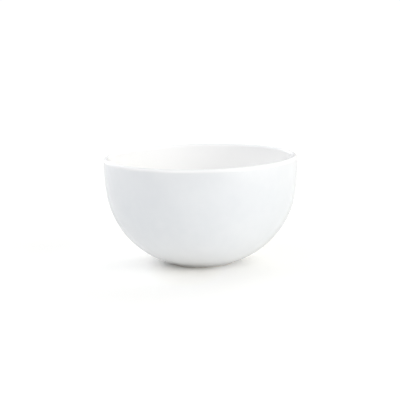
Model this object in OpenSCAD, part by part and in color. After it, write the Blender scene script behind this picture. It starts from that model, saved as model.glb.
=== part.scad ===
// Latte bowl: a round white porcelain bowl without a handle, glazed inside and out,
// standing on a low foot ring of bare clay.
//
// Lengths are in millimetres. +Z is up and is the bowl's axis. The origin is the centre of the
// circle that the foot ring stands on. Every piece is turned about +Z from its half section.
//
// The half section is drawn with arcs that run smoothly into each other: a half-round lip, a slow
// curve down the upper wall, and a rounder belly that comes in to the foot. The clay and the coats
// of glaze take the same arcs at their own depth below the surface, so they meet face to face.

/* [Bowl] */
// Diameter of the rim, over the glaze
rim_d = 140; // [120:1:160]
// Height from the table to the top of the lip
bowl_h = 77.5; // [70:0.5:88]
// Thickness of the upper wall, glaze included
wall_t = 3.8; // [3:0.1:6]
// Thickness of the floor on the bowl's axis, glaze included
floor_t = 4.4; // [3.5:0.1:7]
// Diameter of the flat middle of the floor, inside
floor_flat_d = 26; // [16:1:34]
// Radius of the slow curve down the upper wall
wall_curve_r = 175; // [145:1:230]
// Radius of the belly on the outside
belly_r = 62; // [58:0.5:66]

/* [Foot] */
// Diameter of the foot ring where it joins the bowl
foot_d = 47; // [42:1:56]
// Height of the foot ring
foot_h = 0.8; // [0.6:0.1:2.5]
// Width of the foot ring where it joins the bowl
foot_w = 4.5; // [3.5:0.1:7]
// Lean of the foot ring's outer side from upright, in degrees
foot_lean = 20; // [0:1:30]
// Radius of the two rounded edges that the foot ring stands between
foot_round = 0.3; // [0.2:0.05:0.5]
// Rise of the domed underside inside the foot ring
well_rise = 1.8; // [1:0.1:3]

/* [Glaze] */
// Thickness of the fired glaze
glaze_t = 0.3; // [0.2:0.05:0.5]

/* [Hidden] */

// Straight steps that each arc is drawn with, and the sides of a turned piece
lip_steps = 10;
wall_steps = 12;
belly_steps = 40;
edge_steps = 6;
well_steps = 12;
turned_sides = 180;

// The lip is half round, and the wall is upright where it meets the lip
rim_r = rim_d / 2;
lip_r = wall_t / 2;
lip_at = [rim_r - lip_r, bowl_h - lip_r];
wall_at = [rim_r - wall_curve_r, lip_at.y];

// The foot ring's outer corner, where the belly comes down to it, and the well inside the ring
foot_r = foot_d / 2;
foot_corner = [foot_r, foot_h];
well_r = foot_r - foot_w;
well_curve_r = (well_r * well_r + well_rise * well_rise) / (2 * well_rise);
well_at = [0, foot_h + well_rise - well_curve_r];

// The belly runs smoothly out of the wall's curve and passes through the foot's corner, so its
// centre lies where two circles cross: one round the wall's centre and one round the corner
centre_gap = wall_curve_r - belly_r;
corner_way = foot_corner - wall_at;
corner_gap = norm(corner_way);
corner_dir = corner_way / corner_gap;
belly_along = (centre_gap * centre_gap - belly_r * belly_r + corner_gap * corner_gap) / (2 * corner_gap);
belly_across = sqrt(centre_gap * centre_gap - belly_along * belly_along);
belly_at = wall_at + belly_along * corner_dir + belly_across * [-corner_dir.y, corner_dir.x];
belly_turn = turn_from_wall(belly_at);

// Inside, the belly runs smoothly out of the wall and lies level at the edge of the flat floor, so
// its centre stands over that edge, as far from the wall's centre as their radii differ
floor_z = foot_h + well_rise - glaze_t + floor_t;
floor_edge = [floor_flat_d / 2, floor_z];
inner_wall_r = wall_curve_r - wall_t;
edge_way = floor_edge - wall_at;
inside_r = (inner_wall_r * inner_wall_r - edge_way * edge_way) / (2 * (inner_wall_r + edge_way.y));
inside_at = floor_edge + [0, inside_r];
inside_turn = turn_from_wall(inside_at);

// Angle below level at which an arc about this centre takes over from the wall's curve
function turn_from_wall(centre) = atan2(wall_at.y - centre.y, centre.x - wall_at.x);

// Points along an arc, both ends included
function arc(centre, r, from, to, steps) =
    [for (i = [0 : steps]) let (a = from + (to - from) * i / steps) centre + r * [cos(a), sin(a)]];

function after_first(points) = [for (i = [1 : len(points) - 1]) points[i]];

function reversed(points) = [for (i = [len(points) - 1 : -1 : 0]) points[i]];

// Outside of the bowl at a depth below the glaze's surface, from the crest of the lip to the foot
function outside_line(depth) = concat(
    arc(lip_at, lip_r - depth, 90, 0, lip_steps),
    after_first(arc(wall_at, wall_curve_r - depth, 0, -belly_turn, wall_steps)),
    after_first(arc(belly_at, belly_r - depth, -belly_turn, -foot_angle(depth), belly_steps))
);

// Angle below level at which the belly, at that depth, stands over the foot's corner
function foot_angle(depth) = acos((foot_r - belly_at.x) / (belly_r - depth));

// Inside of the bowl at a depth below the glaze's surface, from the crest of the lip to the axis
function inside_line(depth) = concat(
    arc(lip_at, lip_r - depth, 90, 180, lip_steps),
    after_first(arc(wall_at, inner_wall_r + depth, 0, -inside_turn, wall_steps)),
    after_first(arc(inside_at, inside_r + depth, -inside_turn, -90, belly_steps)),
    [[0, floor_z - depth]]
);

// Domed underside, at the clay or under a coat of this thickness, from the axis to the foot ring
function well_line(coat) = let (r = well_curve_r - coat)
    arc(well_at, r, 90, acos(well_r / r), well_steps);

// A piece turned about the bowl's axis from its half section
module turned(outline) {
    rotate_extrude($fn = turned_sides) polygon(outline);
}

module bowl_body() {
    color("ivory") turned(concat(
        inside_line(glaze_t),
        well_line(0),
        [foot_corner],
        reversed(after_first(outside_line(glaze_t)))
    ));
}

module foot_ring() {
    lean_run = ((foot_h - foot_round) * sin(foot_lean) + foot_round) / cos(foot_lean);
    outer_edge_at = [foot_r - lean_run, foot_round];
    inner_edge_at = [well_r + foot_round, foot_round];
    color("antiquewhite") turned(concat(
        [foot_corner],
        arc(outer_edge_at, foot_round, -foot_lean, -90, edge_steps),
        arc(inner_edge_at, foot_round, -90, -180, edge_steps),
        [[well_r, foot_h]]
    ));
}

// A coat of glaze between its surface and the clay
module coat(surface, clay) {
    color("white") turned(concat(surface, reversed(clay)));
}

module outside_glaze() {
    coat(outside_line(0), outside_line(glaze_t));
}

module inside_glaze() {
    coat(inside_line(0), inside_line(glaze_t));
}

module foot_well_glaze() {
    coat(well_line(glaze_t), well_line(0));
}

bowl_body();
foot_ring();
outside_glaze();
inside_glaze();
foot_well_glaze();
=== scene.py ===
"""Latte bowl: a white porcelain bowl without a handle, on a low foot ring of bare clay.

Every piece of the bowl is a line of radius and height that is carried round the Z axis. The lines
are arcs that repeat the solids' own, and the coats of glaze add what the solids leave out: the
fillets where glaze gathers against the foot ring, and the round edges where it stops.
Lengths are in metres and angles in degrees.
"""
import math

import bpy
import numpy as np
from mathutils import Matrix, Vector


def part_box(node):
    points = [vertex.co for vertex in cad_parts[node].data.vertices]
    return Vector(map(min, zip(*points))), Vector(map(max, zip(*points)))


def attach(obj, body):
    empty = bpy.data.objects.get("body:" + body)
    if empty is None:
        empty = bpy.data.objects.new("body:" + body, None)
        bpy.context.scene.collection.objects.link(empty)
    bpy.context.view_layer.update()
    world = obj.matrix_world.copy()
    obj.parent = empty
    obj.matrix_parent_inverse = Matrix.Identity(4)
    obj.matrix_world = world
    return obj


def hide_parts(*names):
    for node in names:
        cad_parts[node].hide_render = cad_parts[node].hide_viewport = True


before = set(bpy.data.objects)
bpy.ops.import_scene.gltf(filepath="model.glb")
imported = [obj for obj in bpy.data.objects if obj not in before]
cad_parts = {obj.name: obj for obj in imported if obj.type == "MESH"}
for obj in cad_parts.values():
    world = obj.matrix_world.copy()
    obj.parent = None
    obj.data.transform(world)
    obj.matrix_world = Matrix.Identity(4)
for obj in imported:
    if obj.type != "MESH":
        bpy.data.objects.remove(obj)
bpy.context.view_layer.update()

# Sizes of the bowl, read from its solids
rim_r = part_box("outside_glaze")[1].x
bowl_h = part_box("outside_glaze")[1].z
lip_r = rim_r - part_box("inside_glaze")[1].x
glaze_t = bowl_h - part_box("bowl_body")[1].z
floor_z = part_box("inside_glaze")[0].z + glaze_t
foot_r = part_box("foot_ring")[1].x
foot_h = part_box("foot_ring")[1].z
well_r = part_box("foot_well_glaze")[1].x
well_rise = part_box("foot_well_glaze")[1].z - foot_h

# Curves of the wall, the floor and the foot that no box shows
wall_curve_r = 0.175
belly_r = 0.062
floor_flat_r = 0.013
foot_lean = 20
foot_round = 0.0003

# Glaze where it gathers in the corner over the foot ring and thins out on the ring's side, and how far
# down the side it runs: its edge wavers between the two drops
corner_fill = 0.001
edge_film_t = 0.00015
least_drop = 0.00015
most_drop = 0.0004

# Waves of that edge: how many go round the bowl, and where each starts, in radians
edge_waves = ((3, 0.4), (7, 1.9), (16, 4.1))

# Fineness of the meshes, the angle from which an edge is drawn sharp, and the step that is no step
around_sides = 240
lip_steps = 32
wall_steps = 28
belly_steps = 72
fillet_steps = 12
edge_steps = 8
sharp_from = 40
no_step = 1e-9


# Lines of radius and height

def arc(centre, radius, start, stop, steps):
    """Points of a circle about centre, from one angle to another."""
    angle = np.radians(np.linspace(start, stop, steps + 1))
    return centre + radius * np.stack((np.cos(angle), np.sin(angle)), axis=1)


def fillet(start, corner, stop, steps):
    """A quadratic Bezier curve: it leaves start towards corner and arrives at stop from corner."""
    t = np.linspace(0, 1, steps + 1)[:, None]
    return (1 - t) ** 2 * start + 2 * t * (1 - t) * corner + t ** 2 * stop


def joined(*lines):
    """The lines end to end, each without its first point where that repeats the last one."""
    points = np.concatenate([np.atleast_2d(line) for line in lines])
    step = np.linalg.norm(np.diff(points, axis=0), axis=1)
    return points[np.concatenate(([True], step > no_step))]


def crossing(point_a, way_a, point_b, way_b):
    """Where the straight line through point_a along way_a meets the one through point_b."""
    reach = np.linalg.solve(np.stack((way_a, -way_b), axis=1), point_b - point_a)
    return point_a + reach[0] * way_a


def turn_from_wall(centre):
    """Angle below level at which an arc about this centre takes over from the wall's curve."""
    return math.degrees(math.atan2(wall_at[1] - centre[1], centre[0] - wall_at[0]))


lip_at = np.array((rim_r - lip_r, bowl_h - lip_r))
wall_at = np.array((rim_r - wall_curve_r, lip_at[1]))

# The foot ring's outer side leans in from its corner to the flat that the bowl stands on
foot_corner = np.array((foot_r, foot_h))
lean = math.radians(foot_lean)
lean_run = ((foot_h - foot_round) * math.sin(lean) + foot_round) / math.cos(lean)
stand_r = foot_r - lean_run

# The belly's centre is as far from the wall's centre as a smooth join asks, and one belly radius
# from the corner where the foot ring begins
centre_gap = wall_curve_r - belly_r
corner_way = foot_corner - wall_at
corner_gap = np.linalg.norm(corner_way)
corner_dir = corner_way / corner_gap
belly_along = (centre_gap ** 2 - belly_r ** 2 + corner_gap ** 2) / (2 * corner_gap)
belly_across = math.sqrt(centre_gap ** 2 - belly_along ** 2)
belly_at = wall_at + belly_along * corner_dir + belly_across * np.array((-corner_dir[1], corner_dir[0]))
belly_turn = turn_from_wall(belly_at)

# Inside, the belly's centre stands over the edge of the flat floor, as far from the wall's centre as
# their radii differ
inner_wall_r = wall_curve_r - 2 * lip_r
floor_edge = np.array((floor_flat_r, floor_z))
edge_way = floor_edge - wall_at
inside_r = (inner_wall_r ** 2 - edge_way @ edge_way) / (2 * (inner_wall_r + edge_way[1]))
inside_at = floor_edge + np.array((0.0, inside_r))
inside_turn = turn_from_wall(inside_at)

# The well under the floor is a shallow dome
well_curve_r = (well_r ** 2 + well_rise ** 2) / (2 * well_rise)
well_at = np.array((0.0, foot_h + well_rise - well_curve_r))


def belly_angle(radius, curve_r):
    """Angle below level at which the outside's belly, on a circle of curve_r, has this radius."""
    return math.degrees(math.acos((radius - belly_at[0]) / curve_r))


def outside_line(depth, end_r):
    """The outside at a depth under the glaze's surface, from the lip's crest in to the radius end_r."""
    return joined(
        arc(lip_at, lip_r - depth, 90, 0, lip_steps),
        arc(wall_at, wall_curve_r - depth, 0, -belly_turn, wall_steps),
        arc(belly_at, belly_r - depth, -belly_turn, -belly_angle(end_r, belly_r - depth), belly_steps),
    )


def inside_line(depth):
    """The inside at a depth under the glaze's surface, from the lip's crest to the axis."""
    return joined(
        arc(lip_at, lip_r - depth, 90, 180, lip_steps),
        arc(wall_at, inner_wall_r + depth, 0, -inside_turn, wall_steps),
        arc(inside_at, inside_r + depth, -inside_turn, -90, belly_steps),
        (0.0, floor_z - depth),
    )


def well_line(coat_t, end_r):
    """The dome of the well under a coat of this thickness, from the axis out to the radius end_r."""
    radius = well_curve_r - coat_t
    return arc(well_at, radius, 90, math.degrees(math.acos(end_r / radius)), wall_steps)


def run_down(surface, corner, side, out, drop):
    """Glaze that gathers in a corner and stops on the foot ring: from the end of the surface a
    fillet turns along side, a film above the clay, and a half-round edge brings it to the clay.
    out points from the clay to the air, and drop is how far from the corner the edge lies."""
    tangent = surface[-1] - surface[-2]
    film = corner + edge_film_t * out
    turn = crossing(surface[-1], tangent, film, side)
    edge = corner + drop * side
    nose_at = edge + edge_film_t / 2 * out
    angle = np.radians(np.linspace(0, 180, edge_steps + 1))[:, None]
    nose = nose_at + edge_film_t / 2 * (np.cos(angle) * out + np.sin(angle) * side)
    return joined(surface, fillet(surface[-1], turn, edge + edge_film_t * out, fillet_steps), nose)


def outside_coat_line(drop):
    """Down the outside to its edge on the ring's leaning side, and back up along the clay."""
    side = np.array((-math.sin(lean), -math.cos(lean)))
    out = np.array((math.cos(lean), -math.sin(lean)))
    surface = run_down(outside_line(0, foot_r + corner_fill), foot_corner, side, out, drop)
    return joined(surface, foot_corner, outside_line(glaze_t, foot_r)[::-1])


def inside_coat_line():
    """Up the inside from the axis to the lip's crest, and back down along the clay."""
    return joined(inside_line(0)[::-1], inside_line(glaze_t))


def well_coat_line(drop):
    """Out along the well to its edge on the ring's upright inner side, and back along the clay."""
    corner = np.array((well_r, foot_h))
    side = np.array((0.0, -1.0))
    out = np.array((-1.0, 0.0))
    surface = run_down(well_line(glaze_t, well_r - corner_fill), corner, side, out, drop)
    return joined(surface, corner, well_line(0, well_r)[::-1])


def foot_ring_line():
    """Round the ring's section: the leaning side, the flat between two round edges, the inner side."""
    outer_at = np.array((stand_r, foot_round))
    inner_at = np.array((well_r + foot_round, foot_round))
    return joined(
        foot_corner,
        arc(outer_at, foot_round, -foot_lean, -90, edge_steps),
        arc(inner_at, foot_round, -90, -180, edge_steps),
        (well_r, foot_h),
    )


# Meshes

def waver(angle):
    """A slow uneven wave round the bowl, from 0 to 1: a half, and half the mean of the edge's waves."""
    return 0.5 + sum(np.sin(count * angle + start) for count, start in edge_waves) / (2 * len(edge_waves))


def turned(name, line, film=None, far_line=None):
    """The line carried round Z: x = r cos a, y = r sin a, z = z, for every point of the line and every
    angle a. A line that starts and ends on the axis closes in two poles, and any other in a loop.
    With a far line, the points lie between the two lines as the waver of a says. film(r, z) is how
    thick the glaze lies, from 0 to 1, with painted light in it on the outside and the inside, kept on
    the points as glaze_film."""
    if far_line is None:
        far_line = line
    r, z = line.T
    if np.sum(r * np.roll(z, -1) - np.roll(r, -1) * z) < 0:
        line = line[::-1]
        far_line = far_line[::-1]
    poled = max(line[0][0], line[-1][0]) < no_step
    rows = slice(1, -1) if poled else slice(None)
    angle = np.linspace(0, 2 * np.pi, around_sides, endpoint=False)
    sway = waver(angle)[None, :, None]
    section = (1 - sway) * line[rows, None] + sway * far_line[rows, None]
    r, z = section[..., 0], section[..., 1]
    points = np.stack((r * np.cos(angle), r * np.sin(angle), z), axis=-1).reshape(-1, 3)
    here = np.arange(len(points)).reshape(len(r), around_sides)
    beside = np.roll(here, -1, axis=1)
    if poled:
        quads = np.stack((here[:-1], beside[:-1], beside[1:], here[1:]), axis=-1).reshape(-1, 4)
        first, last = len(points), len(points) + 1
        points = np.concatenate((points, [(0, 0, line[0][1]), (0, 0, line[-1][1])]))
        caps = np.concatenate((
            np.stack((np.full(around_sides, first), beside[0], here[0]), axis=1),
            np.stack((here[-1], beside[-1], np.full(around_sides, last)), axis=1),
        ))
        faces = quads.tolist() + caps.tolist()
    else:
        above, above_beside = np.roll(here, -1, axis=0), np.roll(beside, -1, axis=0)
        faces = np.stack((here, beside, above_beside, above), axis=-1).reshape(-1, 4).tolist()
    mesh = bpy.data.meshes.new(name)
    mesh.from_pydata(points.tolist(), [], faces)
    mesh.shade_smooth()
    mesh.set_sharp_from_angle(angle=math.radians(sharp_from))
    if film is not None:
        depth = film(np.hypot(points[:, 0], points[:, 1]), points[:, 2]).astype(np.float32)
        mesh.attributes.new("glaze_film", "FLOAT", "POINT").data.foreach_set("value", depth)
    piece = bpy.data.objects.new(name, mesh)
    bpy.context.scene.collection.objects.link(piece)
    return piece


# How thick the glaze lies, with painted light in it: thin on the lip, where it drains off, which keeps
# the outside's lip light as a painted highlight; lower towards the foot on the outside, which lightens
# the low belly as painted light; thicker all the way down the inside, which lightens it deeper down as
# painted light against the shade there; and gathered in the well's corner

lip_drain_and_highlight = 0.0009
lip_highlight_fade = 0.0019
wall_drain = 0.014
drained_share = 0.3
inside_run_and_light_depth = 0.015
# Painted light on the outside's low belly: how high it reaches, and how much of the film it takes away
low_belly_light_reach = 0.0135
low_belly_light_share = 0.9
wall_film_share = 0.87


def outside_film_and_painted_light(r, z):
    """It is 0 on the lip and grows below it as a cubic step, t t (3 - 2 t), of the depth, which keeps
    the lip light: a painted highlight. Two shares are lost: one drained down the wall, as an exponential
    of the depth, and one over the foot ring, as an exponential of the height, which lightens the low
    belly: painted light."""
    depth = (bowl_h - z).clip(0)
    t = ((depth - lip_drain_and_highlight) / lip_highlight_fade).clip(0, 1)
    drained = 1 - drained_share * np.exp(-depth / wall_drain)
    low_belly_light = 1 - low_belly_light_share * np.exp(-(z - foot_h).clip(0) / low_belly_light_reach)
    return wall_film_share * t * t * (3 - 2 * t) * drained * low_belly_light


def inside_film_and_painted_light(r, z):
    """It grows from 0 at the lip as an exponential of the depth under it, as glaze that runs down, and
    makes the inside lighter deeper down: painted light against the shade there.
    """
    return 1 - np.exp(-(bowl_h - z).clip(0) / inside_run_and_light_depth)


def well_film(r, z):
    """The wall's film, and what gathered in the corner: an exponential of the distance from it."""
    return wall_film_share + (1 - wall_film_share) * np.exp(-(well_r - r).clip(0) / corner_fill)


# Nodes that the materials are made of

# A noise seldom leaves this span
noise_low = 0.3
noise_high = 0.7

# What a group of surface detail puts out
detail_outputs = (
    ("Colour", "NodeSocketColor"),
    ("Roughness", "NodeSocketFloat"),
    ("Height", "NodeSocketFloat"),
)


def feed(tree, socket, value):
    """Gives a socket a value, or links it to the output that feeds it."""
    if isinstance(value, bpy.types.NodeSocket):
        tree.links.new(value, socket)
    else:
        socket.default_value = value


def add_node(tree, kind, inputs=None, **settings):
    """A new node with its settings and inputs."""
    made = tree.nodes.new(kind)
    for key, value in settings.items():
        setattr(made, key, value)
    for key, value in (inputs or {}).items():
        feed(tree, made.inputs[key], value)
    return made


def maths(tree, operation, *values):
    """The result of one sum on values or outputs."""
    return add_node(tree, "ShaderNodeMath", dict(enumerate(values)), operation=operation).outputs[0]


def vector_maths(tree, operation, *values):
    """The node of one sum on vectors, which puts out a vector or a value."""
    return add_node(tree, "ShaderNodeVectorMath", dict(enumerate(values)), operation=operation)


def remap(tree, value, low, high, to_low, to_high):
    """The value's span from low to high, carried over to another one and held inside it."""
    inputs = {"Value": value, "From Min": low, "From Max": high, "To Min": to_low, "To Max": to_high}
    return add_node(tree, "ShaderNodeMapRange", inputs, clamp=True).outputs["Result"]


def held(tree, value):
    """The value, held between 0 and 1."""
    return add_node(tree, "ShaderNodeClamp", {"Value": value}).outputs[0]


def noise(tree, place, per_metre, detail):
    """A soft random pattern, so many to a metre, with this many finer layers on it."""
    inputs = {"Vector": place, "Scale": per_metre, "Detail": detail}
    return add_node(tree, "ShaderNodeTexNoise", inputs).outputs["Fac"]


def swing(tree, pattern, low, high):
    """A noise whose usual span becomes low to high."""
    return remap(tree, pattern, noise_low, noise_high, low, high)


def spots(tree, place, per_metre, bare_share, edge, core):
    """Round spots scattered one to a cell, 1 inside core and 0 past edge, in cell widths. Only the
    share of cells that bare_share leaves over has one."""
    cells = add_node(tree, "ShaderNodeTexVoronoi", {"Vector": place, "Scale": per_metre})
    draw = add_node(tree, "ShaderNodeSeparateColor", {"Color": cells.outputs["Color"]}).outputs[0]
    spot = remap(tree, cells.outputs["Distance"], edge, core, 0.0, 1.0)
    return maths(tree, "MULTIPLY", maths(tree, "GREATER_THAN", draw, bare_share), spot)


def blend_colours(tree, share, first, second):
    """The first colour where share is 0 and the second where it is 1."""
    mixed = add_node(tree, "ShaderNodeMix", data_type="RGBA")
    sockets = {socket.identifier: socket for socket in mixed.inputs}
    feed(tree, sockets["Factor_Float"], share)
    feed(tree, sockets["A_Color"], first)
    feed(tree, sockets["B_Color"], second)
    return next(socket for socket in mixed.outputs if socket.identifier == "Result_Color")


def new_group(name, inputs):
    """A group of surface detail with named inputs. Returns it with its input and output nodes."""
    group = bpy.data.node_groups.new(name, "ShaderNodeTree")
    for label, kind in inputs:
        group.interface.new_socket(label, in_out="INPUT", socket_type=kind)
    for label, kind in detail_outputs:
        group.interface.new_socket(label, in_out="OUTPUT", socket_type=kind)
    return group, add_node(group, "NodeGroupInput"), add_node(group, "NodeGroupOutput")


# Glaze: how many of each pattern lie in a metre, how many finer layers it has, and how strongly it shows

cloud_per_metre = 38.0
cloud_detail = 3.0
cloud_share = 0.06
fog_per_metre = 160.0
fog_detail = 3.0
fog_share = 0.03
fog_smoother = -0.02
fog_rougher = 0.03
wave_per_metre = 55.0
wave_detail = 1.0
peel_per_metre = 420.0
peel_detail = 1.0
peel_share = 0.06
pinhole_per_metre = 150.0
pinhole_free_share = 0.93
pinhole_width = 0.05
pinhole_depth_share = 0.5


def build_glaze_film():
    """Fired glaze: its colour goes from thin to gathered with slow clouds, its surface has slow
    waves, a fine peel and a few pinholes."""
    group, given, out = new_group("glaze_film", (
        ("Thin Colour", "NodeSocketColor"),
        ("Gathered Colour", "NodeSocketColor"),
        ("Gloss Roughness", "NodeSocketFloat"),
        ("Wave Height", "NodeSocketFloat"),
    ))
    place = add_node(group, "ShaderNodeTexCoord").outputs["Object"]
    film = add_node(group, "ShaderNodeAttribute", attribute_name="glaze_film").outputs["Fac"]
    cloud = noise(group, place, cloud_per_metre, cloud_detail)
    fog = noise(group, place, fog_per_metre, fog_detail)
    share = maths(group, "ADD", film, swing(group, cloud, -cloud_share, cloud_share))
    share = held(group, maths(group, "ADD", share, swing(group, fog, -fog_share, fog_share)))
    colour = blend_colours(group, share, given.outputs["Thin Colour"], given.outputs["Gathered Colour"])

    wave = noise(group, place, wave_per_metre, wave_detail)
    waves = maths(group, "MULTIPLY", wave, given.outputs["Wave Height"])
    peel = maths(group, "MULTIPLY", noise(group, place, peel_per_metre, peel_detail), peel_share)
    pinhole = spots(group, place, pinhole_per_metre, pinhole_free_share, pinhole_width, 0.0)
    pit = maths(group, "MULTIPLY", pinhole, pinhole_depth_share)
    height = maths(group, "SUBTRACT", maths(group, "ADD", waves, peel), pit)

    unevenness = swing(group, fog, fog_smoother, fog_rougher)
    roughness = maths(group, "ADD", given.outputs["Gloss Roughness"], unevenness)
    group.links.new(colour, out.inputs["Colour"])
    group.links.new(roughness, out.inputs["Roughness"])
    group.links.new(height, out.inputs["Height"])
    return group


# Clay: the same for its patterns

stain_per_metre = 220.0
stain_detail = 4.0
stain_share = 0.7
grain_per_metre = 2600.0
grain_detail = 3.0
grain_smooth = 0.55
grain_rough = 0.75
mark_per_metre = 2200.0
mark_detail = 2.0
mark_share = 0.4
speck_per_metre = 700.0
speck_edge = 0.25
speck_core = 0.1
speck_share = 0.6
speck_colour = (0.28, 0.22, 0.17, 1.0)


def build_clay_grain():
    """Fired clay: fine sandy grain, cloudy colour, a few dark specks, and the fine circles that a
    turning tool and rubbing leave round the axis."""
    group, given, out = new_group("clay_grain", (
        ("Pale Colour", "NodeSocketColor"),
        ("Deep Colour", "NodeSocketColor"),
        ("Bare Share", "NodeSocketFloat"),
        ("Turning Marks", "NodeSocketFloat"),
    ))
    place = add_node(group, "ShaderNodeTexCoord").outputs["Object"]
    stain = noise(group, place, stain_per_metre, stain_detail)
    grain = noise(group, place, grain_per_metre, grain_detail)
    level = vector_maths(group, "MULTIPLY", place, (1.0, 1.0, 0.0)).outputs["Vector"]
    from_axis = vector_maths(group, "LENGTH", level).outputs["Value"]
    circles = {"W": from_axis, "Scale": mark_per_metre, "Detail": mark_detail}
    circle = add_node(group, "ShaderNodeTexNoise", circles, noise_dimensions="1D").outputs["Fac"]
    marks = maths(group, "MULTIPLY", circle, given.outputs["Turning Marks"])

    share = maths(group, "MULTIPLY_ADD", marks, mark_share, swing(group, stain, 0.0, stain_share))
    share = held(group, share)
    colour = blend_colours(group, share, given.outputs["Pale Colour"], given.outputs["Deep Colour"])
    speck = spots(group, place, speck_per_metre, given.outputs["Bare Share"], speck_edge, speck_core)
    colour = blend_colours(group, maths(group, "MULTIPLY", speck, speck_share), colour, speck_colour)

    group.links.new(colour, out.inputs["Colour"])
    group.links.new(swing(group, grain, grain_smooth, grain_rough), out.inputs["Roughness"])
    group.links.new(maths(group, "ADD", grain, marks), out.inputs["Height"])
    return group


# Finishes

def grouped_material(name, group, values, relief, ior):
    """A material whose colour, roughness and relief come from a group."""
    material = bpy.data.materials.new(name)
    material.use_nodes = True
    tree = material.node_tree
    shader = tree.nodes["Principled BSDF"]
    shader.inputs["IOR"].default_value = ior
    detail = add_node(tree, "ShaderNodeGroup", node_tree=group)
    for key, value in values.items():
        detail.inputs[key].default_value = value
    bump = add_node(tree, "ShaderNodeBump", {"Height": detail.outputs["Height"], "Distance": relief})
    tree.links.new(detail.outputs["Colour"], shader.inputs["Base Color"])
    tree.links.new(detail.outputs["Roughness"], shader.inputs["Roughness"])
    tree.links.new(bump.outputs["Normal"], shader.inputs["Normal"])
    return material


glaze_film = build_glaze_film()
glaze_ior = 1.52
glaze_relief = 0.00006
clay_grain = build_clay_grain()
clay_ior = 1.45
clay_relief = 0.00002

# The lip's colour; on the outside it stays much lighter than the wall below it, a painted highlight along
# the lip
lip_and_highlight_colour = (0.89, 0.89, 0.885, 1.0)

# The outside and the inside are one white glaze in two colours: the outside's darker, cooler grey is
# painted shade on the outside wall, and the inside's near white is its lit copy
outside_painted_shade_finish = grouped_material("outside_glaze_painted_shade", glaze_film, {
    "Thin Colour": lip_and_highlight_colour,
    "Gathered Colour": (0.68, 0.702, 0.724, 1.0),
    "Gloss Roughness": 0.17,
    "Wave Height": 0.6,
}, glaze_relief, glaze_ior)
inside_finish = grouped_material("inside_glaze_finish", glaze_film, {
    "Thin Colour": lip_and_highlight_colour,
    "Gathered Colour": (0.935, 0.932, 0.922, 1.0),
    "Gloss Roughness": 0.08,
    "Wave Height": 0.8,
}, glaze_relief, glaze_ior)
well_finish = grouped_material("well_glaze_finish", glaze_film, {
    "Thin Colour": (0.85, 0.85, 0.83, 1.0),
    "Gathered Colour": (0.79, 0.805, 0.80, 1.0),
    "Gloss Roughness": 0.12,
    "Wave Height": 1.8,
}, glaze_relief, glaze_ior)
# The bare foot ring is the body's porcelain clay, but much darker and browner than the clay colour of the
# body's finish: painted shade of the dark line where the bowl meets the table
foot_painted_shade_finish = grouped_material("bare_foot_painted_shade", clay_grain, {
    "Pale Colour": (0.66, 0.61, 0.55, 1.0),
    "Deep Colour": (0.52, 0.47, 0.41, 1.0),
    "Bare Share": 0.9,
    "Turning Marks": 1.0,
}, clay_relief, clay_ior)
body_finish = grouped_material("porcelain_clay_finish", clay_grain, {
    "Pale Colour": (0.86, 0.85, 0.82, 1.0),
    "Deep Colour": (0.82, 0.80, 0.76, 1.0),
    "Bare Share": 0.97,
    "Turning Marks": 0.0,
}, clay_relief, clay_ior)


# The bowl

def dress(piece, material, node):
    """Gives a new piece its material, hangs it on the root body and hides the solid that it stands for.
    """
    piece.data.materials.append(material)
    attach(piece, "root")
    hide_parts(node)


outside_coat = turned(
    "outside_coat", outside_coat_line(least_drop), outside_film_and_painted_light, outside_coat_line(most_drop))
inside_coat = turned("inside_coat", inside_coat_line(), inside_film_and_painted_light)
foot_well_coat = turned(
    "foot_well_coat", well_coat_line(least_drop), well_film, well_coat_line(most_drop))
bare_foot = turned("bare_foot", foot_ring_line())
dress(outside_coat, outside_painted_shade_finish, "outside_glaze")
dress(inside_coat, inside_finish, "inside_glaze")
dress(foot_well_coat, well_finish, "foot_well_glaze")
dress(bare_foot, foot_painted_shade_finish, "foot_ring")

# The clay under the coats keeps its solid
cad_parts["bowl_body"].data.materials.clear()
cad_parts["bowl_body"].data.materials.append(body_finish)


# The studio

# The table: how far it reaches to the sides and back and to the front, its finish, the light in it,
# and how much fainter it is where the glaze mirrors it. The light is cool, which makes the warm table
# white. It grows between two distances from a place in front of the bowl's axis, where a distance
# across counts double, so the table stays unlit round that place: a painted shadow of the bowl
table_half = 3.0
table_front = 0.36
table_white = (0.965, 0.955, 0.92, 1.0)
table_roughness = 0.9
table_glow = 0.078
glow_tint = (0.8, 0.85, 1.0, 1.0)
painted_shadow_at = (-0.012, -0.029, 0.0)
glow_counts = (2.0, 1.0, 1.0)
glow_from_r = 0.024
glow_to_r = 0.055
mirrored_loss = 0.22


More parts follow.
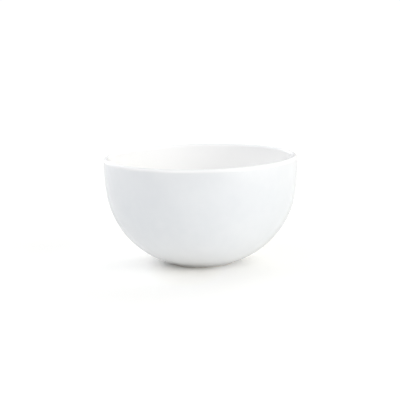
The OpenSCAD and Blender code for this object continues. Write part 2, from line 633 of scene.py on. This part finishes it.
def make_table():
    """A pale table, lit a little from within away from the bowl, which leaves a painted shadow in front
    of it. It is clear from below and under the foot, which lets light reach the underside, and fainter
    where the glaze mirrors it."""
    mesh = bpy.data.meshes.new("table")
    corners = [(-table_half, -table_front, 0), (table_half, -table_front, 0),
               (table_half, table_half, 0), (-table_half, table_half, 0)]
    mesh.from_pydata(corners, [], [(0, 1, 2, 3)])
    table = bpy.data.objects.new("table", mesh)
    bpy.context.scene.collection.objects.link(table)
    material = bpy.data.materials.new("table_white")
    material.use_nodes = True
    tree = material.node_tree
    place = add_node(tree, "ShaderNodeTexCoord").outputs["Object"]

    shader = tree.nodes["Principled BSDF"]
    shader.inputs["Base Color"].default_value = table_white
    shader.inputs["Roughness"].default_value = table_roughness
    shader.inputs["Specular IOR Level"].default_value = 0.0
    shader.inputs["Emission Color"].default_value = glow_tint
    # The glow is left out round a place in front of the bowl: a painted shadow there
    offset = vector_maths(tree, "SUBTRACT", place, painted_shadow_at).outputs["Vector"]
    counted = vector_maths(tree, "MULTIPLY", offset, glow_counts).outputs["Vector"]
    from_glow = vector_maths(tree, "LENGTH", counted).outputs["Value"]
    glow = remap(tree, from_glow, glow_from_r, glow_to_r, 0.0, table_glow)
    tree.links.new(glow, shader.inputs["Emission Strength"])

    from_axis = vector_maths(tree, "LENGTH", place).outputs["Value"]
    under_foot = maths(tree, "LESS_THAN", from_axis, stand_r - foot_round)
    behind = add_node(tree, "ShaderNodeNewGeometry").outputs["Backfacing"]
    mirrored = add_node(tree, "ShaderNodeLightPath").outputs["Is Glossy Ray"]
    fainter = maths(tree, "MULTIPLY", mirrored, mirrored_loss)
    gone = maths(tree, "MAXIMUM", maths(tree, "MAXIMUM", under_foot, behind), fainter)
    clear = add_node(tree, "ShaderNodeBsdfTransparent").outputs[0]
    both = add_node(tree, "ShaderNodeMixShader", {0: gone, 1: shader.outputs[0], 2: clear})
    tree.links.new(both.outputs[0], tree.nodes["Material Output"].inputs["Surface"])
    mesh.materials.append(material)


# Soft lights round the bowl: degrees from the front towards the right, degrees up, how tightly each is
# gathered, strength and tint. The key stands at the right, and the last one only reaches the underside
cool_tint = (0.985, 0.995, 1.025)
warm_tint = (1.005, 1.0, 0.985)
soft_lights = (
    (60, 18, 12, 3.5, warm_tint),
    (65, 4, 14, 2.4, warm_tint),
    (0, 40, 12, 0.6, cool_tint),
    (330, 18, 12, 1.9, cool_tint),
    (270, 42, 9, 1.8, cool_tint),
    (270, 75, 7, 0.45, cool_tint),
    (210, 18, 12, 2.3, cool_tint),
    (150, 32, 12, 3.1, warm_tint),
    (0, -90, 6, 2.0, warm_tint),
)
backdrop_strength = 1.05


def make_light():
    """The sky holds every soft light as a lobe that fades with the angle from its middle, as the
    exponential of the tightness times the cosine less one. The camera sees plain white instead."""
    world = bpy.data.worlds.new("studio_light")
    world.use_nodes = True
    tree = world.node_tree
    tree.nodes.clear()
    way = add_node(tree, "ShaderNodeTexCoord").outputs["Generated"]
    total = (0.0, 0.0, 0.0)
    for azimuth, elevation, tightness, strength, tint in soft_lights:
        a, e = math.radians(azimuth), math.radians(elevation)
        middle = (math.cos(e) * math.sin(a), -math.cos(e) * math.cos(a), math.sin(e))
        facing = vector_maths(tree, "DOT_PRODUCT", way, middle).outputs["Value"]
        lobe = maths(tree, "EXPONENT", maths(tree, "MULTIPLY_ADD", facing, tightness, -tightness))
        glow = vector_maths(tree, "SCALE", tint)
        feed(tree, glow.inputs["Scale"], maths(tree, "MULTIPLY", lobe, strength))
        total = vector_maths(tree, "ADD", total, glow.outputs["Vector"]).outputs["Vector"]
    soft = add_node(tree, "ShaderNodeBackground", {"Color": total, "Strength": 1.0})
    backdrop = {"Color": (1.0, 1.0, 1.0, 1.0), "Strength": backdrop_strength}
    white = add_node(tree, "ShaderNodeBackground", backdrop)
    seen = add_node(tree, "ShaderNodeLightPath").outputs["Is Camera Ray"]
    both = add_node(tree, "ShaderNodeMixShader", {0: seen, 1: soft.outputs[0], 2: white.outputs[0]})
    add_node(tree, "ShaderNodeOutputWorld", {"Surface": both.outputs[0]})
    bpy.context.scene.world = world


# The photograph's view: where the camera stands, what it looks at and how far it leans
camera_at = Vector((0.0, -0.9412, 0.2063))
camera_aim = Vector((-0.0009, 0.0, 0.0451))
camera_lens_mm = 118.3
camera_lean = 1.25


def make_camera():
    """A camera that looks from its place at its aim, turned about its line of sight by the lean."""
    camera = bpy.data.objects.new("camera", bpy.data.cameras.new("camera"))
    camera.data.lens = camera_lens_mm
    turn = (camera_aim - camera_at).to_track_quat("-Z", "Y").to_matrix()
    tilt = Matrix.Rotation(math.radians(-camera_lean), 3, "Z")
    camera.matrix_world = Matrix.Translation(camera_at) @ (turn @ tilt).to_4x4()
    bpy.context.scene.collection.objects.link(camera)
    bpy.context.scene.camera = camera


make_table()
make_light()
make_camera()
bpy.context.scene.view_settings.view_transform = "Standard"
